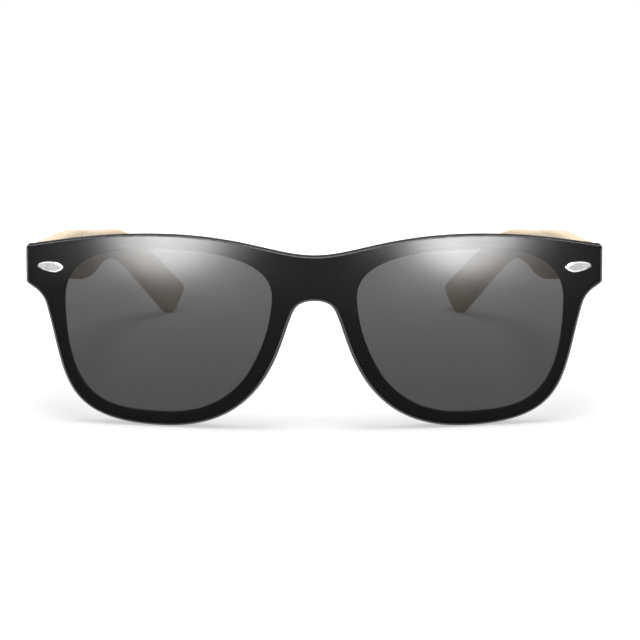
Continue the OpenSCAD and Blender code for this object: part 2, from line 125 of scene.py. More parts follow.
class FrontSettings(bpy.types.PropertyGroup):
    """Sizes and colours of the frame and the lens."""

    width: size("Front width", "Width across both ends", FRONT_HIGH.x - FRONT_LOW.x)
    eye_width: size("Eye width", "Width of one eye opening", 0.0525)
    eye_height: size("Eye height", "Height of one eye opening", 0.0422)
    bridge_width: size("Bridge width", "Distance between the eye openings", 0.021)
    bridge_height: size("Bridge height", "Height of the bridge over the nose", 0.011)
    bridge_dip: size("Bridge dip", "How far the bridge dips below the brow", 0.0048)
    nose_width: size("Nose width", "Width of the nose gap at its arch", 0.012)
    rim_top: size("Top rim", "Rim above the eye opening", 0.0035)
    rim_bottom: size("Bottom rim", "Rim below the eye opening", 0.0033)
    rim_side: size("Side rim", "Rim beside the eye opening", 0.0048)
    wrap_radius: size("Wrap", "Radius of the curve round the face", 0.25)
    dome_radius: size("Dome", "Radius of the curve from brow to cheek", 0.11)
    lens_thickness: size("Lens thickness", "Thickness of the lens", 0.0016)
    frame_thickness: size("Frame thickness", "Thickness of the frame behind the lens", 0.0026)
    glue_gap: size("Glue", "Glue film between the lens and the frame", 0.00008)
    ledge: size("Ledge", "How far the frame stands out round the lens", 0.0002)
    end_height: size("End height", "Straight height of the outer ends", 0.0088)
    end_dip: size("End dip", "How far the ends drop below the brow", 0.0036)
    end_round: size("End corner", "Radius of the ends' upper corners", 0.0008)
    end_thickness: size("End thickness", "Thickness of the ends behind the wrap", 0.0097)
    lug_side: size("Hinge room", "From the middle to the blocks that stop the temples", 0.068)
    pad_length: size("Pad length", "Length of a nose pad", 0.016)
    pad_reach: size("Pad reach", "How far a nose pad stands out behind the frame", 0.0032)
    pad_out: size("Pad place", "Pad's middle out from the side of the nose gap", 0.0062)
    pad_drop: size("Pad drop", "Pad's middle below the top of the nose gap", 0.0146)
    outer_round: size("Outer edge", "Radius of the frame's outer rear edge", 0.0012)
    eye_round: size("Eye edge", "Radius of the eye opening's rear edge", 0.001)
    block_round: size("Block edge", "Radius of the end blocks' edges", 0.00035)
    block_fall: size("Block shoulder", "Height over which an end block gets its full depth", 0.0018)
    crisp_round: size("Crisp edge", "Radius of the edges under the lens", 0.00015)
    lens_bevel: size("Lens bevel", "Width of the lens's polished bevel", 0.00058)
    brow_bevel: size("Brow bevel", "Width of the lens's polished bevel along the brow", 0.0001)
    frame_colour: colour("Frame", "Colour of the moulded front", (0.012, 0.012, 0.013))
    lens_colour: colour("Lens", "Colour of the lens tint", (0.004, 0.004, 0.0045))
    # The lens edge's colour holds painted light: its darker colour is painted shade along the brow, and
    # its lighter colour is painted light where the bevel catches the lamps elsewhere
    edge_painted_shade: colour("Lens edge", "Colour of the lens's edge along the brow", (0.03, 0.03, 0.031))
    edge_painted_light: colour("Lit lens edge", "Colour of the lens's edge elsewhere", (0.16, 0.16, 0.162))
    lens_cover: share("Tint", "Share of the light that each lens surface stops", 0.74)


class TempleSettings(bpy.types.PropertyGroup):
    """Sizes and colours of the bamboo temples."""

    length: size("Length", "Length along the middle line", 0.1425)
    thickness: size("Thickness", "Thickness of a temple", 0.0048)
    tip_thickness: size("Tip thickness", "Thickness of the tip", 0.0044)
    butt_height: size("Butt height", "Height at the hinge", 0.0104)
    butt_drop: size("Butt drop", "Middle of the butt below the top of the front's end", 0.0053)
    neck_height: size("Neck height", "Height where the hook starts", 0.0089)
    tip_height: size("Tip height", "Height of the tip", 0.0131)
    crest_height: size("Crest", "How much the upper edge swells", 0.0015)
    crest_at: size("Crest place", "Where along the temple the upper edge is highest", 0.037)
    crest_fall: size("Crest fall", "Length over which the upper edge falls again", 0.063)
    swell_height: size("Swell", "How much the lower edge swells", 0.0041)
    swell_at: size("Swell place", "Where along the temple the lower edge is lowest", 0.063)
    swell_rise: size("Swell rise", "Length over which the lower edge swells", 0.052)
    swell_fall: size("Swell fall", "Length over which the lower edge draws in again", 0.047)
    hook_at: size("Hook place", "Where along the temple the hook starts", 0.1)
    hook_bend: size("Hook bend", "Length of the hook's bend", 0.017)
    hook_angle: turn("Hook angle", "How steeply the hook turns down", 40)
    toe_at: size("Toe place", "Where along the temple it starts to turn in", 0.084)
    toe_bend: size("Toe bend", "Length of the turn towards the head", 0.025)
    toe_angle: turn("Toe angle", "How far it turns in towards the head", 27)
    edge_round: size("Long edges", "Radius on the long edges", 0.0015)
    tip_round: size("Tip corners", "Radius of the tip's corners", 0.0032)
    butt_round: size("Butt edge", "Width of the butt's eased edge", 0.0003)
    light: colour("Light bamboo", "Colour between the fibres", (0.97, 0.82, 0.62))
    dark: colour("Dark bamboo", "Colour of the fibres", (0.74, 0.55, 0.35))


class HingeSettings(bpy.types.PropertyGroup):
    """Sizes and colours of the hinges and plaques."""

    edge: size("Edges", "Width of the metal pieces' eased edges", 0.00012)
    wire: size("Wire", "Thickness of the spring's wire", 0.00035)
    spring_turns: bpy.props.IntProperty(
        name="Spring turns", description="Number of turns of the spring", default=6, min=3
    )
    plaque_length: size("Plaque length", "Length of a plaque", 0.0072)
    plaque_height: size("Plaque height", "Height of a plaque", 0.0026)
    plaque_thickness: size("Plaque thickness", "Thickness of a plaque", 0.0007)
    plaque_corner: size("Plaque corner", "Width of a plaque's rounded corners", 0.0004)
    plaque_bevel: size("Plaque bevel", "Width of a plaque's polished border", 0.00035)
    plaque_in: size("Plaque place", "Plaque's middle in from the front's end", 0.0068)
    plaque_drop: size("Plaque drop", "Plaque's middle below the top of the end", 0.005)
    plaque_lean: turn("Plaque lean", "How far a plaque leans down towards the nose", 1)
    plaque_gap: size("Plaque gap", "Glue film under a plaque", 0.00006)
    silver: colour("Silver", "Colour of a plaque's face", (0.56, 0.56, 0.57))
    border: colour("Border", "Colour of a plaque's polished border", (0.97, 0.97, 0.97))
    steel: colour("Steel", "Colour of the hinge pieces", (0.56, 0.56, 0.58))
    screw: colour("Screws", "Colour of the screws", (0.72, 0.72, 0.74))
    spring: colour("Spring", "Colour of the spring wire", (0.42, 0.42, 0.44))
    brass: colour("Brass", "Colour of the guide bush", (0.72, 0.53, 0.24))


class StageSettings(bpy.types.PropertyGroup):
    """Camera, light and floor."""

    camera_distance: size("Distance", "Camera in front of the lens", 0.34794)
    camera_height: size("Height", "Camera above the floor", 0.103126)
    camera_pitch: turn("Pitch", "How far the camera looks down", 12.048)
    camera_shift: number("Shift", "Shift of the picture to the right", 0.0088)
    focal_length: number("Focal length", "Lens of the camera, in mm", 81.42, min=1, unit="CAMERA")
    sky: number("Sky", "Strength of the light from all round", 0.5, min=0)
    lamp: number("Lamp", "Strength of the overhead lamp", 2.15, min=0)
    lamp_spread: turn("Lamp spread", "Width of the overhead lamp in the sky", 32)
    lamp_lean: turn("Lamp lean", "How far the overhead lamp leans to the front", 6)
    glow: number("Glow", "Power of a soft box that the lens reflects", 2.05, min=0)
    box_distance: size("Box distance", "Soft box before the top of the lens", 0.15)
    box_width: size("Box width", "Width of a soft box", 0.07)
    box_height: size("Box height", "Height of a soft box", 0.092)
    glow_side: turn("Glow side", "Direction of a soft box from straight ahead", 23.4)
    glow_rise: turn("Glow rise", "Direction of a soft box above the floor", 20.2)
    floor: colour("Floor", "Colour of the floor before the object", (0.55, 0.55, 0.55))
    rear_floor: colour("Rear floor", "Colour of the floor behind the object", (0.9, 0.9, 0.9))
    floor_lift: number("Floor lift", "Added light that makes the floor white", 0.5, min=0)
    rear_lift: number("Rear lift", "Added light on the floor behind the object", 0.72, min=0)


Station = namedtuple("Station", "rim rim_in eye eye_out on_axis block eased")


class FrontShape:
    """Outline and depths of one half of the front, worked out from the settings."""

    # Steps along each stretch of the outline, and where on the eye opening each stretch starts
    steps = (22, 20, 6, 8, 14, 28, 36, 12)
    eye_places = (0.35, 0.95, 1.45, 1.52, 1.93, 2.07, 3.0, 3.83, 4.05)
    # Steps up the middle, and how far round the eye opening they go
    axis_steps = 8
    axis_turn = 0.3
    # Stretches that pass an end block, and how many edge radii it starts beyond the hinge room
    block_stretches = (2, 3, 4)
    block_start = 4
    # Places on the outline, as shares of the eye's width, the end's height and the nose's width
    brow_place = 0.53
    neck_drop = 0.66
    nose_drop = 0.38
    # Ways that the outline runs beside the eye and beside the nose
    side_way = Vector((0.27, 0.963))
    nose_way = Vector((0.37, -0.93))
    # Points and handles of the eye opening, as shares of its width and height
    eye_controls = (
        (0, 0.73), (0, 0.95), (0.28, 1),
        (0.57, 1), (0.86, 1), (1, 0.885),
        (1, 0.675), (1, 0.025), (0.81, 0),
        (0.52, 0), (0.055, 0), (0, 0.627),
        (0, 0.73),
    )

    def __init__(self, front):
        self.front = front
        self.end_x = front.width / 2
        self.top = front.rim_bottom + front.eye_height + front.rim_top
        self.eye_in = front.bridge_width / 2
        self.brow_x = self.eye_in + self.brow_place * front.eye_width
        self.bridge_top = self.top - front.bridge_dip
        self.arch_top = self.bridge_top - front.bridge_height
        self.end_top = self.top - front.end_dip
        self.end_low = self.end_top - front.end_height
        wrap = front.wrap_radius
        self.end_depth = wrap - math.sqrt(wrap**2 - self.end_x**2) + front.end_thickness
        self.apex_y = FRONT_HIGH.y - self.end_depth
        eye_up = front.rim_bottom + front.eye_height / 2
        self.eye_middle = Vector((self.eye_in + front.eye_width / 2, eye_up))
        self.pad_ball = (front.pad_length**2 / 4 + front.pad_reach**2) / (2 * front.pad_reach)
        self.pad_middle = Vector((front.nose_width / 2 + front.pad_out, self.arch_top - front.pad_drop))

    def outline(self):
        """Points and handles of half the outline, from the bridge to the end and back to the nose."""
        front = self.front
        eye_w, eye_h, end_h = front.eye_width, front.eye_height, front.end_height
        nose_w, corner = front.nose_width, front.end_round
        end_x, end_top, end_low, brow_x = self.end_x, self.end_top, self.end_low, self.brow_x
        neck = Vector((self.eye_in + eye_w + front.rim_side, end_low - self.neck_drop * end_h))
        nose = Vector((nose_w / 2, self.arch_top - self.nose_drop * nose_w))
        # The numbers are the lengths of the handles, as shares of the sizes beside them
        return [
            Vector(point)
            for point in (
                (0, self.bridge_top), (0.46 * front.bridge_width, self.bridge_top),
                (brow_x - 0.39 * eye_w, self.top), (brow_x, self.top),
                (brow_x + 0.29 * eye_w, self.top),
                (end_x - end_h, end_top + 0.15 * end_h), (end_x - corner, end_top),
                (end_x - corner / 2, end_top), (end_x, end_top - corner / 2), (end_x, end_top - corner),
                (end_x, end_top - end_h / 3), (end_x, end_low + end_h / 3), (end_x, end_low),
                (end_x, end_low - 0.17 * end_h), neck + 0.49 * end_h * self.side_way, neck,
                neck - 0.43 * eye_h * self.side_way, (brow_x + 0.53 * eye_w, 0), (brow_x, 0),
                (brow_x - 0.49 * eye_w, 0), nose + 0.19 * eye_h * self.nose_way, nose,
                nose - 0.2 * front.bridge_height * self.nose_way, (0.38 * nose_w, self.arch_top),
                (0, self.arch_top),
            )
        ]

    def eye(self, place):
        """Point of the eye opening's edge and the way into the frame there, at 0 to 4 once round."""
        width, height, low = self.front.eye_width, self.front.eye_height, self.front.rim_bottom
        controls = [Vector((self.eye_in + u * width, low + v * height)) for u, v in self.eye_controls]
        stretch = int(place) % 4
        point, way = cubic(controls[3 * stretch:3 * stretch + 4], place - int(place))
        return point, Vector((-way.y, way.x))

    def stations(self, inset):
        """Places round half the front, on the outline moved in by inset and then up the middle."""
        controls = self.outline()
        block_end = self.front.lug_side + self.block_start * self.front.block_round
        found = []
        for stretch, count in enumerate(self.steps):
            first, last = self.eye_places[stretch], self.eye_places[stretch + 1]
            for i in range(count + (stretch == len(self.steps) - 1)):
                point, way = cubic(controls[3 * stretch:3 * stretch + 4], i / count)
                rim_in = Vector((way.y, -way.x))
                eye, eye_out = self.eye(first + (last - first) * i / count)
                block = 0
                if stretch in self.block_stretches and point.x > block_end:
                    block = min((self.end_top - point.y) / self.front.block_fall, 1)
                found.append(Station(point + inset * rim_in, rim_in, eye, eye_out, False, block, False))
        low, high = self.arch_top + inset, self.bridge_top - inset
        for i in range(1, self.axis_steps):
            up = i / self.axis_steps
            eye, eye_out = self.eye(self.eye_places[-1] + self.axis_turn * up)
            rim = Vector((0, low + (high - low) * up))
            found.append(Station(rim, Vector((1, 0)), eye, eye_out, True, 0, False))
        return found

    def block_edges(self, stations):
        """The stations with the end block's last one doubled, so that its lower wall is upright."""
        found = []
        for here, after in zip(stations, stations[1:] + stations[:1]):
            last = here.block > 0 and after.block == 0
            found.append(here._replace(eased=last))
            if last:
                found.append(here._replace(block=0))
        return found

    def skin(self, point, inset):
        """Depth of the doubly curved surface at a point of the outline's plane."""
        wrap, dome = self.front.wrap_radius, self.front.dome_radius
        height = point.y - self.top / 2
        reach = wrap - dome + math.sqrt((dome - inset) ** 2 - height**2)
        return self.apex_y + wrap - math.sqrt(reach**2 - point.x**2)

    def face(self, point):
        """Depth of the frame's front face."""
        return self.skin(point, self.front.lens_thickness + self.front.glue_gap)

    def back(self, point):
        """Depth of the frame's back, with the nose pad."""
        front, ball = self.front, self.pad_ball
        inset = front.lens_thickness + front.glue_gap + front.frame_thickness
        off = (point - self.pad_middle).length
        back = self.skin(point, inset)
        if off >= ball:
            return back
        return max(back, self.apex_y + inset + front.pad_reach - ball + math.sqrt(ball**2 - off**2))


def cubic(points, t):
    """Point on a cubic curve and the way that it runs there."""
    a, b, c, d = points
    s = 1 - t
    place = s**3 * a + 3 * s * s * t * b + 3 * s * t * t * c + t**3 * d
    way = s * s * (b - a) + 2 * s * t * (c - b) + t * t * (d - c)
    return place, way.normalized()


def at(point, depth):
    """A point of the outline's plane at a depth."""
    return Vector((point.x, depth, point.y))


def select_only(obj):
    """Makes one object the selected and active one."""
    bpy.ops.object.select_all(action="DESELECT")
    obj.select_set(True)
    bpy.context.view_layer.objects.active = obj


@contextmanager
def editing(obj):
    """Edit mode on one object, with its whole mesh selected."""
    select_only(obj)
    bpy.ops.object.mode_set(mode="EDIT")
    bpy.ops.mesh.select_mode(type="VERT")
    bpy.ops.mesh.select_all(action="SELECT")
    yield
    bpy.ops.object.mode_set(mode="OBJECT")


def apply_modifier(obj, kind, **settings):
    """Adds a modifier, sets it and applies it."""
    select_only(obj)
    bpy.ops.object.modifier_add(type=kind)
    modifier = obj.modifiers[-1]
    for name, value in settings.items():
        setattr(modifier, name, value)
    bpy.ops.object.modifier_apply(modifier=modifier.name)


def smooth(obj, degrees=32):
    """Shades an object smooth, with its sharper edges kept."""
    select_only(obj)
    bpy.ops.object.shade_smooth_by_angle(angle=math.radians(degrees))


def add_mesh(name, add, **settings):
    """One of Blender's own shapes as a new object."""
    bpy.ops.object.select_all(action="DESELECT")
    add(**settings)
    obj = bpy.context.object
    obj.name = obj.data.name = name
    return obj


def skinned(name, sections, round_stations, round_rows):
    """A skin through sections of points: a grid whose points are moved to their places."""
    sections = sections + sections[:1] * round_stations
    sections = [section + section[:1] * round_rows for section in sections]
    rows = len(sections[0])
    grid = bpy.ops.mesh.primitive_grid_add
    obj = add_mesh(name, grid, x_subdivisions=rows - 1, y_subdivisions=len(sections) - 1)
    for vertex, point in zip(obj.data.vertices, (point for section in sections for point in section)):
        vertex.co = point
    return obj


def close_up(obj, merge=HALF_MERGE):
    """Merges the points of a skin that meet, and turns its faces outwards."""
    with editing(obj):
        bpy.ops.mesh.remove_doubles(threshold=merge)
        bpy.ops.mesh.dissolve_degenerate(threshold=merge)
        bpy.ops.mesh.normals_make_consistent(inside=False)


def close_ends(obj):
    """Merges the points of a tube that meet, closes its ends and turns its faces outwards."""
    with editing(obj):
        bpy.ops.mesh.remove_doubles(threshold=TUBE_MERGE)
        bpy.ops.mesh.select_all(action="DESELECT")
        bpy.ops.mesh.select_non_manifold()
        bpy.ops.mesh.edge_face_add()
        bpy.ops.mesh.select_all(action="SELECT")
        bpy.ops.mesh.normals_make_consistent(inside=False)


def both_halves(obj):
    """Opens a half where it meets the middle, and mirrors it."""
    close_up(obj)
    points = obj.data.vertices
    middle = [
        polygon.index for polygon in obj.data.polygons
        if all(abs(points[i].co.x) < ON_AXIS for i in polygon.vertices)
    ]
    with editing(obj):
        bpy.ops.mesh.select_all(action="DESELECT")
        bpy.ops.object.mode_set(mode="OBJECT")
        for index in middle:
            obj.data.polygons[index].select = True
        bpy.ops.object.mode_set(mode="EDIT")
        bpy.ops.mesh.select_mode(type="FACE")
        bpy.ops.mesh.delete(type="FACE")
    apply_modifier(obj, "MIRROR", use_clip=True, merge_threshold=FINE_MERGE)
    close_up(obj, FINE_MERGE)


def cut_box(obj, low, high):
    """Cuts a box out of a piece."""
    cube = bpy.ops.mesh.primitive_cube_add
    cutter = add_mesh("cutter", cube, size=1, location=(low + high) / 2, scale=high - low)
    bpy.ops.object.transform_apply()
    apply_modifier(obj, "BOOLEAN", operation="DIFFERENCE", solver="EXACT", object=cutter)
    bpy.data.objects.remove(cutter)


def mirrored(obj, name):
    """A copy of a piece for the wearer's right, with its own mesh."""
    select_only(obj)
    bpy.ops.object.duplicate()
    copy = bpy.context.object
    copy.name = copy.data.name = name
    copy.scale.x = -1
    bpy.ops.object.transform_apply()
    with editing(copy):
        bpy.ops.mesh.normals_make_consistent(inside=False)
    return copy


def finish_piece(obj, body, slot, materials, *nodes):
    """Gives a piece its materials and its body, and hides the CAD nodes that it stands for."""
    for material in materials:
        obj.data.materials.append(material)
    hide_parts(*nodes)
    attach(obj, body)


def add_node(tree, kind, values=(), **settings):
    """A shader node with its settings, and with values or links on its sockets."""
    node = tree.nodes.new(f"ShaderNode{kind}")
    for name, value in settings.items():
        setattr(node, name, value)
    for socket, value in dict(values).items():
        if isinstance(value, bpy.types.NodeSocket):
            tree.links.new(value, node.inputs[socket])
        else:
            node.inputs[socket].default_value = value
    return node


def calc(tree, operation, *values):
    """The result of one step of arithmetic."""
    return add_node(tree, "Math", enumerate(values), operation=operation).outputs[0]


def noise(tree, place, scale, detail, **more):
    """Noise at a place, from 0 to 1."""
    values = {"Vector": place, "Scale": scale, "Detail": detail, **more}
    return add_node(tree, "TexNoise", values).outputs["Fac"]


def remap(tree, value, given, wanted, **settings):
    """A value moved from a given range to the wanted one."""
    ends = ("From Min", "From Max", "To Min", "To Max")
    values = {"Value": value, **dict(zip(ends, (*given, *wanted)))}
    return add_node(tree, "MapRange", values, **settings).outputs["Result"]


def two_tones(tree, value, *stops):
    """A colour that runs between two stops, each a place and a colour."""
    ramp = add_node(tree, "ValToRGB", {"Fac": value})
    for element, (place, tone) in zip(ramp.color_ramp.elements, stops):
        element.position = place
        element.color = (*tone, 1)
    return ramp.outputs["Color"]


def new_group(name, inputs, outputs):
    """An empty shader node group, with what it is given and what it gives."""
    tree = bpy.data.node_groups.new(name, "ShaderNodeTree")
    for direction, sockets in (("INPUT", inputs), ("OUTPUT", outputs)):
        for socket in sockets:
            kind = "Color" if socket == "Colour" else "Float"
            tree.interface.new_socket(socket, in_out=direction, socket_type=f"NodeSocket{kind}")
    return tree, tree.nodes.new("NodeGroupInput").outputs, tree.nodes.new("NodeGroupOutput").inputs


def worn_gloss():
    """Group: cloudy roughness of a handled glossy surface, and its faint unevenness."""
    tree, given, result = new_group("worn_gloss", ("Scale", "Smooth", "Rough"), ("Roughness", "Height"))
    cloud_span = (0.35, 0.7)
    finer = 7
    place = add_node(tree, "TexCoord").outputs["Object"]
    clouds = noise(tree, place, given["Scale"], detail=4)
    grains = noise(tree, place, calc(tree, "MULTIPLY", given["Scale"], finer), detail=2)
    grip = remap(tree, clouds, cloud_span, (given["Smooth"], given["Rough"]))
    tree.links.new(grip, result["Roughness"])
    tree.links.new(grains, result["Height"])
    return tree


def drawn_metal():
    """Group: tone, roughness and fine lines of metal that was drawn or brushed along its length."""
    tree, given, result = new_group(
        "drawn_metal", ("Colour", "Scale", "Smooth", "Rough"), ("Colour", "Roughness", "Height")
    )
    drawn_out = (1, 0.06, 1)
    stain_scale = 420
    stain_tones = (0.86, 1.06)
    place = add_node(tree, "TexCoord").outputs["Object"]
    drawn = add_node(tree, "Mapping", {"Vector": place, "Scale": drawn_out}).outputs["Vector"]
    lines = noise(tree, drawn, given["Scale"], detail=5)
    tone = remap(tree, noise(tree, place, stain_scale, detail=3), NOISE_SPAN, stain_tones)
    toned = add_node(tree, "VectorMath", {0: given["Colour"], "Scale": tone}, operation="SCALE")
    grip = remap(tree, lines, NOISE_SPAN, (given["Smooth"], given["Rough"]))
    tree.links.new(toned.outputs["Vector"], result["Colour"])
    tree.links.new(grip, result["Roughness"])
    tree.links.new(lines, result["Height"])
    return tree


def new_material(name, values):
    """A material with its node tree and its Principled BSDF, with values on some of its sockets."""
    material = bpy.data.materials.new(name)
    material.use_nodes = True
    shader = material.node_tree.nodes["Principled BSDF"]
    for socket, value in values.items():
        shader.inputs[socket].default_value = value
    return material, material.node_tree, shader


def add_bump(tree, shader, height, strength, distance):
    """Links a height to a shader's normal."""
    bump = add_node(tree, "Bump", {"Height": height, "Strength": strength, "Distance": distance})
    tree.links.new(bump.outputs["Normal"], shader.inputs["Normal"])


def grouped(build, tree, **values):
    """The outputs of a node group in a material; the group is built at its first use."""
    group = bpy.data.node_groups.get(build.__name__) or build()
    return add_node(tree, "Group", values, node_tree=group).outputs


def glossy(name, tone, scale, gloss, uneven, **more):
    """A polished plastic with handled gloss, whose roughness keeps to the range gloss."""
    sockets = {socket.replace("_", " "): value for socket, value in more.items()}
    material, tree, shader = new_material(name, {"Base Color": (*tone, 1), **sockets})
    wear = grouped(worn_gloss, tree, Scale=scale, Smooth=gloss[0], Rough=gloss[1])
    tree.links.new(wear["Roughness"], shader.inputs["Roughness"])
    add_bump(tree, shader, wear["Height"], uneven, distance=0.00001)
    return material


def metal(name, tone, scale, gloss, uneven):
    """A drawn or polished metal, whose roughness keeps to the range gloss."""
    material, tree, shader = new_material(name, {"Metallic": 1})
    drawn = grouped(drawn_metal, tree, Colour=(*tone, 1), Scale=scale, Smooth=gloss[0], Rough=gloss[1])
    tree.links.new(drawn["Colour"], shader.inputs["Base Color"])
    tree.links.new(drawn["Roughness"], shader.inputs["Roughness"])
    add_bump(tree, shader, drawn["Height"], uneven, distance=0.000008)
    return material


def bamboo(settings):
    """Oiled pale bamboo: fibres along the temple, glued strips and the odd joint of the cane."""
    strip_height = 0.0052
    joints_per_metre = 9
    half_way = 0.5
    # Where a joint's dark line fades, as shares of the way from one joint to the next
    joint_edge = (0.004, 0.016)
    joint_tone = -0.12
    # How much each pattern adds to the tone, and the tones of the dark and the light wood
    fibre_share, band_share, strip_share = 0.55, 0.5, 0.16
    dark_tone, light_tone = 0.36, 0.66
    gloss = (0.66, 0.5)
    material, tree, shader = new_material("bamboo", {"Specular IOR Level": 0.08})
    grain = add_node(tree, "Attribute", attribute_name="grain").outputs["Vector"]

    def streaks(along, across, detail):
        values = {"Vector": grain, "Scale": (along, across, across)}
        stretched = add_node(tree, "Mapping", values).outputs["Vector"]
        return noise(tree, stretched, 1, detail, Roughness=0.6)

    fibres = streaks(along=70, across=3200, detail=3)
    bands = streaks(along=14, across=520, detail=2)
    place = add_node(tree, "SeparateXYZ", {"Vector": grain}).outputs
    strip = calc(tree, "FLOOR", calc(tree, "DIVIDE", place["Z"], strip_height))
    strip_tone = add_node(tree, "TexWhiteNoise", {"W": strip}, noise_dimensions="1D").outputs["Value"]
    along = calc(tree, "MULTIPLY_ADD", place["X"], joints_per_metre, strip_tone)
    from_joint = calc(tree, "PINGPONG", along, half_way)
    joint = remap(tree, from_joint, joint_edge, (joint_tone, 0), interpolation_type="SMOOTHSTEP")
    fibrous = calc(tree, "MULTIPLY", fibres, fibre_share)
    streaked = calc(tree, "MULTIPLY_ADD", bands, band_share, fibrous)
    striped = calc(tree, "MULTIPLY_ADD", strip_tone, strip_share, streaked)
    tone = calc(tree, "ADD", striped, joint)
    wood = two_tones(tree, tone, (dark_tone, settings.dark), (light_tone, settings.light))
    tree.links.new(wood, shader.inputs["Base Color"])
    tree.links.new(remap(tree, fibres, NOISE_SPAN, gloss), shader.inputs["Roughness"])
    add_bump(tree, shader, fibres, strength=0.3, distance=0.00005)
    return material


class SUNGLASSES_OT_lens(bpy.types.Operator):
    """Model the one-piece lens with its polished edge"""

    bl_idname = "sunglasses.lens"
    bl_label = "Lens"

    # Places of a section's points, from the eye's middle to its edge and on to the lens's edge
    inner_shares = (0, 0.2, 0.4, 0.6, 0.8)
    rim_shares = (0, 0.3, 0.6, 0.85)

    def execute(self, context):
        front = context.scene.sunglasses_front
        shape = FrontShape(front)
        stations = shape.stations(front.ledge)
        sections = [self.section(shape, front, place) for place in stations]
        lens = skinned("lens", sections, True, False)
        rows = len(sections[0])
        rim_row = len(self.inner_shares) + len(self.rim_shares)
        for polygon in lens.data.polygons:
            polygon.material_index = int(polygon.index % (rows - 1) in (rim_row, rim_row + 1))
        # Painted light and shade on the lens's edge, by the way it faces: 1 where the edge takes
        # painted light, 0 where it takes painted shade along the brow and on the edge walls at the
        # outer ends
        painted_sidelight = lens.data.attributes.new("painted_sidelight", "FLOAT", "POINT")
        for i, place in enumerate(stations + stations[:1]):
            lit = 1 - max(-place.rim_in.y, 0)
            shaded = lit * (1 - max(-place.rim_in.x, 0))
            for row in range(rows):
                painted_sidelight.data[i * rows + row].value = lit if row > rim_row + 1 else shaded
        both_halves(lens)
        smooth(lens)
        tint = glossy(
            "lens_tint", front.lens_colour, scale=60, gloss=(0.23, 0.28), uneven=0.02,
            Alpha=front.lens_cover, Specular_IOR_Level=0.11,
        )
        finish_piece(lens, "front", "lens_tint", [tint, self.polished_edge(front)], "shield_lens")
        return {"FINISHED"}

    def section(self, shape, front, place):
        """Points along the lens's back to its edge, over the bevel and back along its face."""
        back, face = front.lens_thickness, 0
        upward = max(-place.rim_in.y, 0)
        bevel = front.lens_bevel + upward * (front.brow_bevel - front.lens_bevel)
        bevel = 0 if place.on_axis else bevel
        edge = place.rim + bevel * place.rim_in
        plan = [shape.eye_middle.lerp(place.eye, step) for step in self.inner_shares]
        plan += [place.eye.lerp(edge, step) for step in self.rim_shares]
        points = [at(point, shape.skin(point, back)) for point in plan]
        points.append(at(place.rim, shape.skin(place.rim, back)))
        points.append(at(place.rim, shape.skin(place.rim, face) + bevel))
        points.append(at(edge, shape.skin(edge, face)))
        return points + [at(point, shape.skin(point, face)) for point in reversed(plan)]

    @staticmethod
    def polished_edge(front):
        """The lens's edge, its colour painted darker along the brow as painted shade and lighter
        elsewhere as painted light.
        """
        material = glossy(
            "lens_edge", front.edge_painted_shade, scale=300, gloss=(0.2, 0.32), uneven=0.1,
            Specular_IOR_Level=0.15,
        )
        # Shares of the attribute up to which the edge takes its painted shade, and from which it takes
        # its painted light
        dark_to, light_from = 0.2, 0.7
        tree = material.node_tree
        side = add_node(tree, "Attribute", attribute_name="painted_sidelight").outputs["Fac"]
        tone = two_tones(tree, side, (dark_to, front.edge_painted_shade), (light_from, front.edge_painted_light))
        tree.links.new(tone, tree.nodes["Principled BSDF"].inputs["Base Color"])
        return material


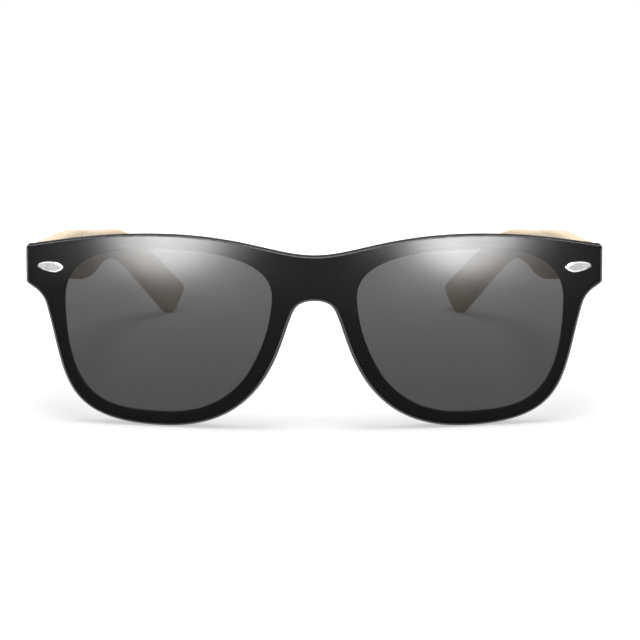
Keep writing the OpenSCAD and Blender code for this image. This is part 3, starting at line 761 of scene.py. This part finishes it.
class SUNGLASSES_OT_front_frame(bpy.types.Operator):
    """Model the moulded frame with its nose pads and end blocks"""

    bl_idname = "sunglasses.front_frame"
    bl_label = "Front frame"

    # Places of a section's points across the face and the back; the back has as many as an end block
    face_steps = (0, 0.35, 0.7, 1)
    back_steps = (0.3, 0.5, 0.5, 0.75)
    # Furthest that the shelf behind the hinge leaf reaches towards the eye opening
    shelf_reach = 0.85

    def execute(self, context):
        front = context.scene.sunglasses_front
        shape = FrontShape(front)
        stations = shape.block_edges(shape.stations(0))
        sections = [self.section(shape, front, place) for place in stations]
        obj = skinned("frame", sections, True, True)
        both_halves(obj)
        gap = Vector((POCKET_GAP, POCKET_GAP, POCKET_GAP))
        low, high = LEAF_LOW - gap, LEAF_HIGH + gap
        for side in SIDES.values():
            ends = sorted((side * low.x, side * high.x))
            cut_box(obj, Vector((ends[0], low.y, low.z)), Vector((ends[1], FRONT_HIGH.y, high.z)))
        with editing(obj):
            bpy.ops.mesh.fill_holes(sides=4)
        smooth(obj)
        black = glossy(
            "front_plastic", front.frame_colour, scale=160, gloss=(0.4, 0.55), uneven=0.12,
            Specular_IOR_Level=0.06,
        )
        finish_piece(obj, "front", "front_plastic", [black], "front_frame")
        return {"FINISHED"}

    def section(self, shape, front, place):
        """Points round the frame's section from the eye opening to the rim and back."""
        crisp = front.crisp_round
        width = (place.rim - place.eye).length
        outer = front.block_round if place.block else front.outer_round
        fit = min(1, ROUND_SHARE * width / (outer + front.eye_round))
        outer = 0 if place.on_axis else outer * fit
        inner = front.eye_round * fit
        drop = front.block_round if place.eased else 0

        def outer_back(point):
            back = shape.back(point)
            return back + place.block * (FRONT_HIGH.y - drop - back)

        def shelf_back(point):
            back = shape.back(point)
            beside_leaf = LEAF_LOW.z - SHELF_PAST < point.y < LEAF_HIGH.z + SHELF_PAST
            return back + place.block * beside_leaf * (SCREW_MIDDLE.y - KNUCKLE_ROOM - back)

        def rounded(degrees, edge, inward, radius, depth):
            a = math.radians(degrees)
            point = edge + radius * (1 - math.cos(a)) * inward
            return at(point, depth(point) - radius * (1 - math.sin(a)))

        eye_edge = place.eye + crisp * place.eye_out
        rim_edge = place.rim if place.on_axis else place.rim + crisp * place.rim_in
        across = [eye_edge.lerp(rim_edge, step) for step in self.face_steps]
        points = [at(point, shape.face(point)) for point in across]
        points.append(at(place.rim, shape.face(place.rim) + crisp))
        points += [rounded(step, place.rim, place.rim_in, outer, outer_back) for step in ROUND_STEPS]
        start = place.rim + outer * place.rim_in
        end = place.eye + inner * place.eye_out
        if place.block:
            span = start.x - end.x
            eased = start.lerp(end, (start.x - front.lug_side - front.block_round) / span)
            wall = start.lerp(end, (start.x - front.lug_side) / span)
            past_leaf = (start.x - LEAF_LOW.x + SHELF_PAST) / span
            shelf = start.lerp(end, min(past_leaf, self.shelf_reach))
            points.append(at(eased, outer_back(eased)))
            points.append(at(wall, outer_back(wall) - place.block * front.block_round))
            points.append(at(wall, shelf_back(wall)))
            points.append(at(shelf, shelf_back(shelf)))
        else:
            across = [start.lerp(end, step) for step in self.back_steps]
            points += [at(point, shape.back(point)) for point in across]
        for step in reversed(ROUND_STEPS):
            points.append(rounded(step, place.eye, place.eye_out, inner, shape.back))
        points.append(at(place.eye, shape.face(place.eye) + crisp))
        return points


class TempleShape:
    """Middle line and rings of the wearer's left temple, worked out from the settings."""

    # Length over which the rings lean from the upright butt into the tilt
    upright = 0.0067
    corner_steps = 6
    straight_rings = 40
    hook_rings = 40
    tip_rings = 10

    def __init__(self, temple, butt_z):
        self.temple = temple
        self.butt_z = butt_z
        points = [point for s in self.places() for point, _ in self.ring(s)]
        self.tilt = min(
            math.atan2(point.z, point.y) + math.asin(butt_z / math.hypot(point.y, point.z))
            for point in points
            if math.hypot(point.y, point.z) > butt_z
        )

    def places(self):
        """Distances along the middle line, closer together on the hook and at the tip."""
        temple = self.temple
        hook_at, tip_round = temple.hook_at, temple.tip_round
        hook_end = temple.length - tip_round
        quarter = math.pi / 2
        found = [0, temple.butt_round]
        found += [hook_at * i / self.straight_rings for i in range(1, self.straight_rings)]
        found += [hook_at + (hook_end - hook_at) * i / self.hook_rings for i in range(self.hook_rings)]
        for i in range(self.tip_rings + 1):
            found.append(hook_end + tip_round * math.sin(quarter * i / self.tip_rings))
        return found

    @staticmethod
    def ramp(s, start, length):
        """How far along a stretch a distance lies, from 0 to 1."""
        return min(max((s - start) / length, 0), 1)

    def bent(self, s, start, length, angle):
        """A straight line with one bend: distances along and across."""
        radius = length / angle
        a = angle * self.ramp(s, start, length)
        rest = max(s - start - length, 0)
        along = min(s, start) + radius * math.sin(a) + rest * math.cos(angle)
        return along, radius * (1 - math.cos(a)) + rest * math.sin(angle)

    @staticmethod
    def swell(s, place, rise, fall):
        """Share of a swelling at a distance along the temple."""
        off = (s - place) / (rise if s < place else fall)
        return (1 + math.cos(math.pi * off)) / 2 if abs(off) < 1 else 0

    def height(self, s):
        """Height without the swellings: narrowest where the hook starts and widest at the tip."""
        temple = self.temple
        neck = (temple.neck_height - temple.butt_height) * self.ramp(s, 0, temple.hook_at)
        flare = self.ramp(s, temple.hook_at, temple.length - temple.hook_at)
        return temple.butt_height + neck + (temple.tip_height - temple.neck_height) * flare

    def drawn_in(self, s, radius):
        """How much narrower the rounded tip is at a distance along the temple."""
        left = self.temple.length - s
        return 0 if left >= radius else radius - math.sqrt(max(radius**2 - (radius - left) ** 2, 0))

    def ring(self, s):
        """Points of a rounded rectangle square to the middle line, each with its place in the wood."""
        temple = self.temple
        hook = (temple.hook_at, temple.hook_bend)
        toe = (temple.toe_at, temple.toe_bend)
        along, down = self.bent(s, *hook, temple.hook_angle)
        _, inward = self.bent(s, *toe, temple.toe_angle)
        middle = Vector((-inward, along, -down))
        a = temple.hook_angle * self.ramp(s, *hook)
        b = temple.toe_angle * self.ramp(s, *toe)
        up = Vector((-math.sin(b) * math.sin(a), math.cos(b) * math.sin(a), math.cos(a)))
        out = Vector((math.cos(b), math.sin(b), 0))
        narrow = self.drawn_in(s, temple.tip_round) + max(temple.butt_round - s, 0)
        reach = self.height(s) / 2 - narrow
        crest = self.swell(s, temple.crest_at, temple.crest_at, temple.crest_fall)
        belly = self.swell(s, temple.swell_at, temple.swell_rise, temple.swell_fall)
        thin = self.ramp(s, temple.swell_at, temple.length - temple.swell_at)
        thick = temple.thickness + (temple.tip_thickness - temple.thickness) * thin
        half = thick / 2 - self.drawn_in(s, temple.tip_round / 2) - max(temple.butt_round - s, 0)
        top = reach + temple.crest_height * crest
        low = reach + temple.swell_height * belly
        radius = min(temple.edge_round, half * ROUND_SHARE)
        points = []
        for corner in range(4):
            u = half - radius if corner in (0, 3) else radius - half
            v = top - radius if corner < 2 else radius - low
            for k in range(self.corner_steps + 1):
                angle = math.pi / 2 * (corner + k / self.corner_steps)
                x = u + radius * math.cos(angle)
                z = v + radius * math.sin(angle)
                points.append((middle + x * out + z * up, Vector((s, x, z))))
        return points

    def placed(self, point, s):
        """A ring's point, hung at the hinge and tilted until the tip meets the ground."""
        lean = self.tilt * min(s / self.upright, 1)
        x = TEMPLE_HIGH.x - self.temple.thickness / 2 + point.x
        y = TEMPLE_LOW.y + point.y * math.cos(self.tilt) + point.z * math.sin(lean)
        return Vector((x, y, self.butt_z + point.z * math.cos(lean) - point.y * math.sin(self.tilt)))


class SUNGLASSES_OT_temples(bpy.types.Operator):
    """Model the bamboo temples with the pockets for the hinge housings"""

    bl_idname = "sunglasses.temples"
    bl_label = "Temples"

    def execute(self, context):
        temple = context.scene.sunglasses_temple
        front = FrontShape(context.scene.sunglasses_front)
        shape = TempleShape(temple, front.end_top - temple.butt_drop)
        rings = [(s, shape.ring(s)) for s in shape.places()]
        sections = [[shape.placed(point, s) for point, _ in ring] for s, ring in rings]
        left = skinned("left_bamboo_temple", sections, False, True)
        grain = left.data.attributes.new("grain", "FLOAT_VECTOR", "POINT")
        woods = [wood for _, ring in rings for _, wood in ring + ring[:1]]
        for value, wood in zip(grain.data, woods):
            value.vector = wood
        close_ends(left)
        low = Vector((HOUSING_LOW.x, HOUSING_LOW.y - POCKET_GAP, HOUSING_LOW.z - POCKET_GAP))
        cut_box(left, low, HOUSING_HIGH + Vector((POCKET_GAP, POCKET_GAP, POCKET_GAP)))
        wood = bamboo(temple)
        right = mirrored(left, "right_bamboo_temple")
        for side, obj in (("left", left), ("right", right)):
            smooth(obj)
            finish_piece(obj, f"{side}_temple", "bamboo", [wood], f"{side}_temple")
        return {"FINISHED"}


class SUNGLASSES_OT_hinges(bpy.types.Operator):
    """Finish the hinge pieces and wind the springs"""

    bl_idname = "sunglasses.hinges"
    bl_label = "Hinges"

    # Degrees between faces: up to flat they are one face, and past sharp their edge is eased
    flat = 1
    sharp = 40
    # Rings in a turn of the spring, and points in a ring
    turn_rings = 28
    wire_sides = 10

    def execute(self, context):
        hinge = context.scene.sunglasses_hinge
        steel = metal("hinge_steel", hinge.steel, scale=3000, gloss=(0.22, 0.4), uneven=0.2)
        bright = metal("screw_steel", hinge.screw, scale=2400, gloss=(0.14, 0.26), uneven=0.1)
        wire = metal("spring_steel", hinge.spring, scale=5000, gloss=(0.2, 0.34), uneven=0.1)
        brass = metal("bush_brass", hinge.brass, scale=4000, gloss=(0.2, 0.32), uneven=0.1)
        eased = {
            "front_leaf": ("front", "hinge_steel", steel),
            "hinge_screw": ("front", "screw_steel", bright),
            "hinge_tang": ("{}_tang", "hinge_steel", steel),
            "hinge_housing": ("{}_temple", "hinge_steel", steel),
            "housing_screws": ("{}_temple", "screw_steel", bright),
        }
        kept = {"guide_bush": brass, "spring_stop": steel}
        for side in SIDES:
            for name, (body, slot, material) in eased.items():
                node = f"{side}_{name}"
                piece = self.eased_copy(node, hinge.edge)
                finish_piece(piece, body.format(side), slot, [material], node)
            for name, material in kept.items():
                node = frame["nodes"][f"{side}_{name}"]
                node.data.materials.clear()
                node.data.materials.append(material)
            coil = self.spring(side, hinge)
            finish_piece(coil, f"{side}_temple", "spring_steel", [wire], f"{side}_hinge_spring")
            slides = (joint for joint in frame["joints"] if joint["name"] == f"{side}_spring_slide")
            travel = next(slides)["range_m"][1]
            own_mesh(coil)
        return {"FINISHED"}

    def eased_copy(self, node, edge):
        """A copy of a CAD node with its flat faces joined and its edges eased."""
        copy = bpy.data.objects.new(f"{node}_eased", frame["nodes"][node].data.copy())
        bpy.context.scene.collection.objects.link(copy)
        copy.data.materials.clear()
        with editing(copy):
            bpy.ops.mesh.remove_doubles(threshold=FINE_MERGE)
            bpy.ops.mesh.dissolve_limited(angle_limit=math.radians(self.flat))
        sharp = math.radians(self.sharp)
        apply_modifier(copy, "BEVEL", width=edge, segments=2, limit_method="ANGLE", angle_limit=sharp)
        smooth(copy, self.sharp)
        return copy

    def spring(self, side, hinge):
        """A compression spring wound round the hinge's shaft."""
        rings = hinge.spring_turns * self.turn_rings
        coil_radius = (SPRING_HIGH.x - SPRING_LOW.x - hinge.wire) / 2
        first = SPRING_LOW.y + hinge.wire / 2
        pitch = (SPRING_HIGH.y - SPRING_LOW.y - hinge.wire) / rings
        along = Vector((0, 1, 0))
        sections = []
        for i in range(rings + 1):
            a = 2 * math.pi * i / self.turn_rings
            out = Vector((math.cos(a), 0, math.sin(a)))
            middle = Vector((SIDES[side] * SHAFT.x, first + pitch * i, SHAFT.z)) + coil_radius * out
            section = []
            for k in range(self.wire_sides):
                b = 2 * math.pi * k / self.wire_sides
                section.append(middle + hinge.wire / 2 * (math.cos(b) * out - math.sin(b) * along))
            sections.append(section)
        coil = skinned(f"{side}_spring_coil", sections, False, True)
        close_ends(coil)
        smooth(coil, degrees=50)
        return coil


class SUNGLASSES_OT_plaques(bpy.types.Operator):
    """Model the silver plaques on the lens"""

    bl_idname = "sunglasses.plaques"
    bl_label = "Plaques"

    # Outline as shares of the length from the outer end and of the height from the middle
    outline = (
        (0, 0.02), (0.05, 0.22), (0.2, 0.39), (0.45, 0.49), (0.72, 0.47), (0.92, 0.26),
        (1, 0), (0.93, -0.27), (0.72, -0.5), (0.5, -0.48), (0.22, -0.33), (0.04, -0.14),
    )
    # A face that looks up less than this, out of 1, belongs to the border
    level = 0.95

    def execute(self, context):
        hinge = context.scene.sunglasses_hinge
        shape = FrontShape(context.scene.sunglasses_front)
        face = metal("plaque_silver", hinge.silver, scale=1500, gloss=(0.08, 0.15), uneven=0.15)
        border = metal("plaque_border", hinge.border, scale=900, gloss=(0.08, 0.16), uneven=0.05)
        left = self.plaque(hinge, shape)
        right = mirrored(left, "right_silver_plaque")
        for side, obj in (("left", left), ("right", right)):
            smooth(obj, degrees=25)
            finish_piece(obj, "front", "plaque_silver", [face, border], f"{side}_plaque")
        return {"FINISHED"}

    def plaque(self, hinge, shape):
        """The wearer's left plaque: a lozenge with a raised face and a polished border."""
        circle = bpy.ops.mesh.primitive_circle_add
        obj = add_mesh("left_silver_plaque", circle, vertices=len(self.outline), fill_type="NGON")
        for vertex, (along, up) in zip(obj.data.vertices, reversed(self.outline)):
            vertex.co = ((0.5 - along) * hinge.plaque_length, up * hinge.plaque_height, 0)
        with editing(obj):
            bpy.ops.mesh.bevel(
                offset=hinge.plaque_corner, segments=3, affect="VERTICES", clamp_overlap=True
            )
            bpy.ops.mesh.select_all(action="SELECT")
            bpy.ops.mesh.normals_make_consistent(inside=False)
            wall = hinge.plaque_thickness - hinge.plaque_bevel
            bpy.ops.mesh.extrude_region_move(TRANSFORM_OT_translate={"value": (0, 0, wall)})
            bpy.ops.mesh.inset(thickness=hinge.plaque_bevel)
            bpy.ops.transform.translate(value=(0, 0, hinge.plaque_bevel))
            bpy.ops.mesh.select_all(action="SELECT")
            bpy.ops.mesh.normals_make_consistent(inside=False)
        for polygon in obj.data.polygons:
            polygon.material_index = int(polygon.normal.z < self.level)
        front = shape.front
        point = Vector((shape.end_x - hinge.plaque_in, shape.end_top - hinge.plaque_drop))
        dome = math.asin((point.y - shape.top / 2) / front.dome_radius)
        reach = front.wrap_radius - front.dome_radius * (1 - math.cos(dome))
        wrap = math.asin(point.x / reach)
        obj.matrix_world = (
            Matrix.Translation(at(point, shape.skin(point, 0)))
            @ Matrix.Rotation(wrap, 4, "Z")
            @ Matrix.Rotation(math.pi / 2 - dome, 4, "X")
            @ Matrix.Rotation(hinge.plaque_lean, 4, "Z")
            @ Matrix.Translation((0, 0, hinge.plaque_gap))
        )
        select_only(obj)
        bpy.ops.object.transform_apply()
        return obj


class SUNGLASSES_OT_stage(bpy.types.Operator):
    """Set up the floor, the light and the camera"""

    bl_idname = "sunglasses.stage"
    bl_label = "Stage"

    floor_size = 12
    # Where the floor's front tone starts to give way to its rear tone, and where it has done so
    floor_fade = (-0.03, 0.14)
    nearest_seen = 0.01

    def execute(self, context):
        stage = context.scene.sunglasses_stage
        shape = FrontShape(context.scene.sunglasses_front)
        context.scene.view_settings.view_transform = "Standard"
        self.sky(context.scene, stage)
        self.floor(stage)
        bpy.ops.object.light_add(type="SUN", rotation=(stage.lamp_lean, 0, 0))
        lamp = bpy.context.object.data
        lamp.angle = stage.lamp_spread
        lamp.energy = stage.lamp
        for name, side in SIDES.items():
            self.soft_box(f"soft_box_{name}", stage, shape, side)
        bpy.ops.object.camera_add(
            location=(0, shape.apex_y - stage.camera_distance, stage.camera_height),
            rotation=(math.pi / 2 - stage.camera_pitch, 0, 0),
        )
        camera = bpy.context.object
        camera.data.lens = stage.focal_length
        camera.data.shift_x = stage.camera_shift
        camera.data.clip_start = self.nearest_seen
        context.scene.camera = camera
        return {"FINISHED"}

    @staticmethod
    def seen(tree):
        """1 for rays that show the surroundings: from the camera, off gloss and through glass."""
        path = add_node(tree, "LightPath").outputs
        either = calc(tree, "MAXIMUM", path["Is Camera Ray"], path["Is Glossy Ray"])
        return calc(tree, "MAXIMUM", either, path["Is Transmission Ray"])

    def sky(self, scene, stage):
        """A plain white surround that lights the object softly."""
        world = bpy.data.worlds.new("white_surround")
        world.use_nodes = True
        tree = world.node_tree
        strength = remap(tree, self.seen(tree), (0, 1), (stage.sky, 1))
        background = tree.nodes["Background"]
        background.inputs["Color"].default_value = (1, 1, 1, 1)
        tree.links.new(strength, background.inputs["Strength"])
        scene.world = world

    def floor(self, stage):
        """A white floor that keeps the object's shadow."""
        floor = add_mesh("floor", bpy.ops.mesh.primitive_plane_add, size=self.floor_size)
        material, tree, shader = new_material(
            "white_floor", {"Roughness": 0.9, "Specular IOR Level": 0, "Emission Color": (1, 1, 1, 1)}
        )
        place = add_node(tree, "TexCoord").outputs["Object"]
        depth = add_node(tree, "SeparateXYZ", {"Vector": place}).outputs["Y"]
        behind = remap(tree, depth, self.floor_fade, (0, 1))
        tones = {0: behind, 6: (*stage.floor, 1), 7: (*stage.rear_floor, 1)}
        tone = add_node(tree, "Mix", tones, data_type="RGBA").outputs[2]
        tree.links.new(tone, shader.inputs["Base Color"])
        lift = remap(tree, behind, (0, 1), (stage.floor_lift, stage.rear_lift))
        shown = calc(tree, "MULTIPLY", self.seen(tree), lift)
        tree.links.new(shown, shader.inputs["Emission Strength"])
        floor.data.materials.append(material)

    @staticmethod
    def soft_box(name, stage, shape, side):
        """A soft box that only gloss shows."""
        way = Vector((
            side * math.sin(stage.glow_side) * math.cos(stage.glow_rise),
            -math.cos(stage.glow_side) * math.cos(stage.glow_rise),
            math.sin(stage.glow_rise),
        ))
        lens_top = Vector((side * shape.brow_x, shape.apex_y, shape.top))
        bpy.ops.object.light_add(type="AREA", location=lens_top + stage.box_distance * way)
        box = bpy.context.object
        box.name = name
        box.rotation_mode = "QUATERNION"
        box.rotation_quaternion = way.to_track_quat("Z", "Y")
        box.visible_camera = box.visible_diffuse = box.visible_transmission = False
        box.data.shape = "ELLIPSE"
        box.data.size = stage.box_width
        box.data.size_y = stage.box_height
        box.data.energy = stage.glow


PIECES = (
    SUNGLASSES_OT_front_frame,
    SUNGLASSES_OT_lens,
    SUNGLASSES_OT_plaques,
    SUNGLASSES_OT_temples,
    SUNGLASSES_OT_hinges,
    SUNGLASSES_OT_stage,
)
SETTINGS = {
    "sunglasses_front": FrontSettings,
    "sunglasses_temple": TempleSettings,
    "sunglasses_hinge": HingeSettings,
    "sunglasses_stage": StageSettings,
}


class SUNGLASSES_PT_panel(bpy.types.Panel):
    """Settings and steps of the sunglasses"""

    bl_idname = "SUNGLASSES_PT_panel"
    bl_label = "Sunglasses"
    bl_space_type = "VIEW_3D"
    bl_region_type = "UI"
    bl_category = "Sunglasses"

    def draw(self, context):
        for piece in PIECES:
            self.layout.operator(piece.bl_idname)
        for pointer, group in SETTINGS.items():
            box = self.layout.box()
            for name in group.__annotations__:
                box.prop(getattr(context.scene, pointer), name)


def register():
    for kind in (*SETTINGS.values(), *PIECES, SUNGLASSES_PT_panel):
        bpy.utils.register_class(kind)
    for pointer, group in SETTINGS.items():
        setattr(bpy.types.Scene, pointer, bpy.props.PointerProperty(type=group))


def unregister():
    for pointer in SETTINGS:
        delattr(bpy.types.Scene, pointer)
    for kind in (SUNGLASSES_PT_panel, *reversed(PIECES), *SETTINGS.values()):
        bpy.utils.unregister_class(kind)


def main():
    register()
    bpy.ops.sunglasses.front_frame()
    bpy.ops.sunglasses.lens()
    bpy.ops.sunglasses.plaques()
    bpy.ops.sunglasses.temples()
    bpy.ops.sunglasses.hinges()
    bpy.ops.sunglasses.stage()


if __name__ == "__main__":
    main()
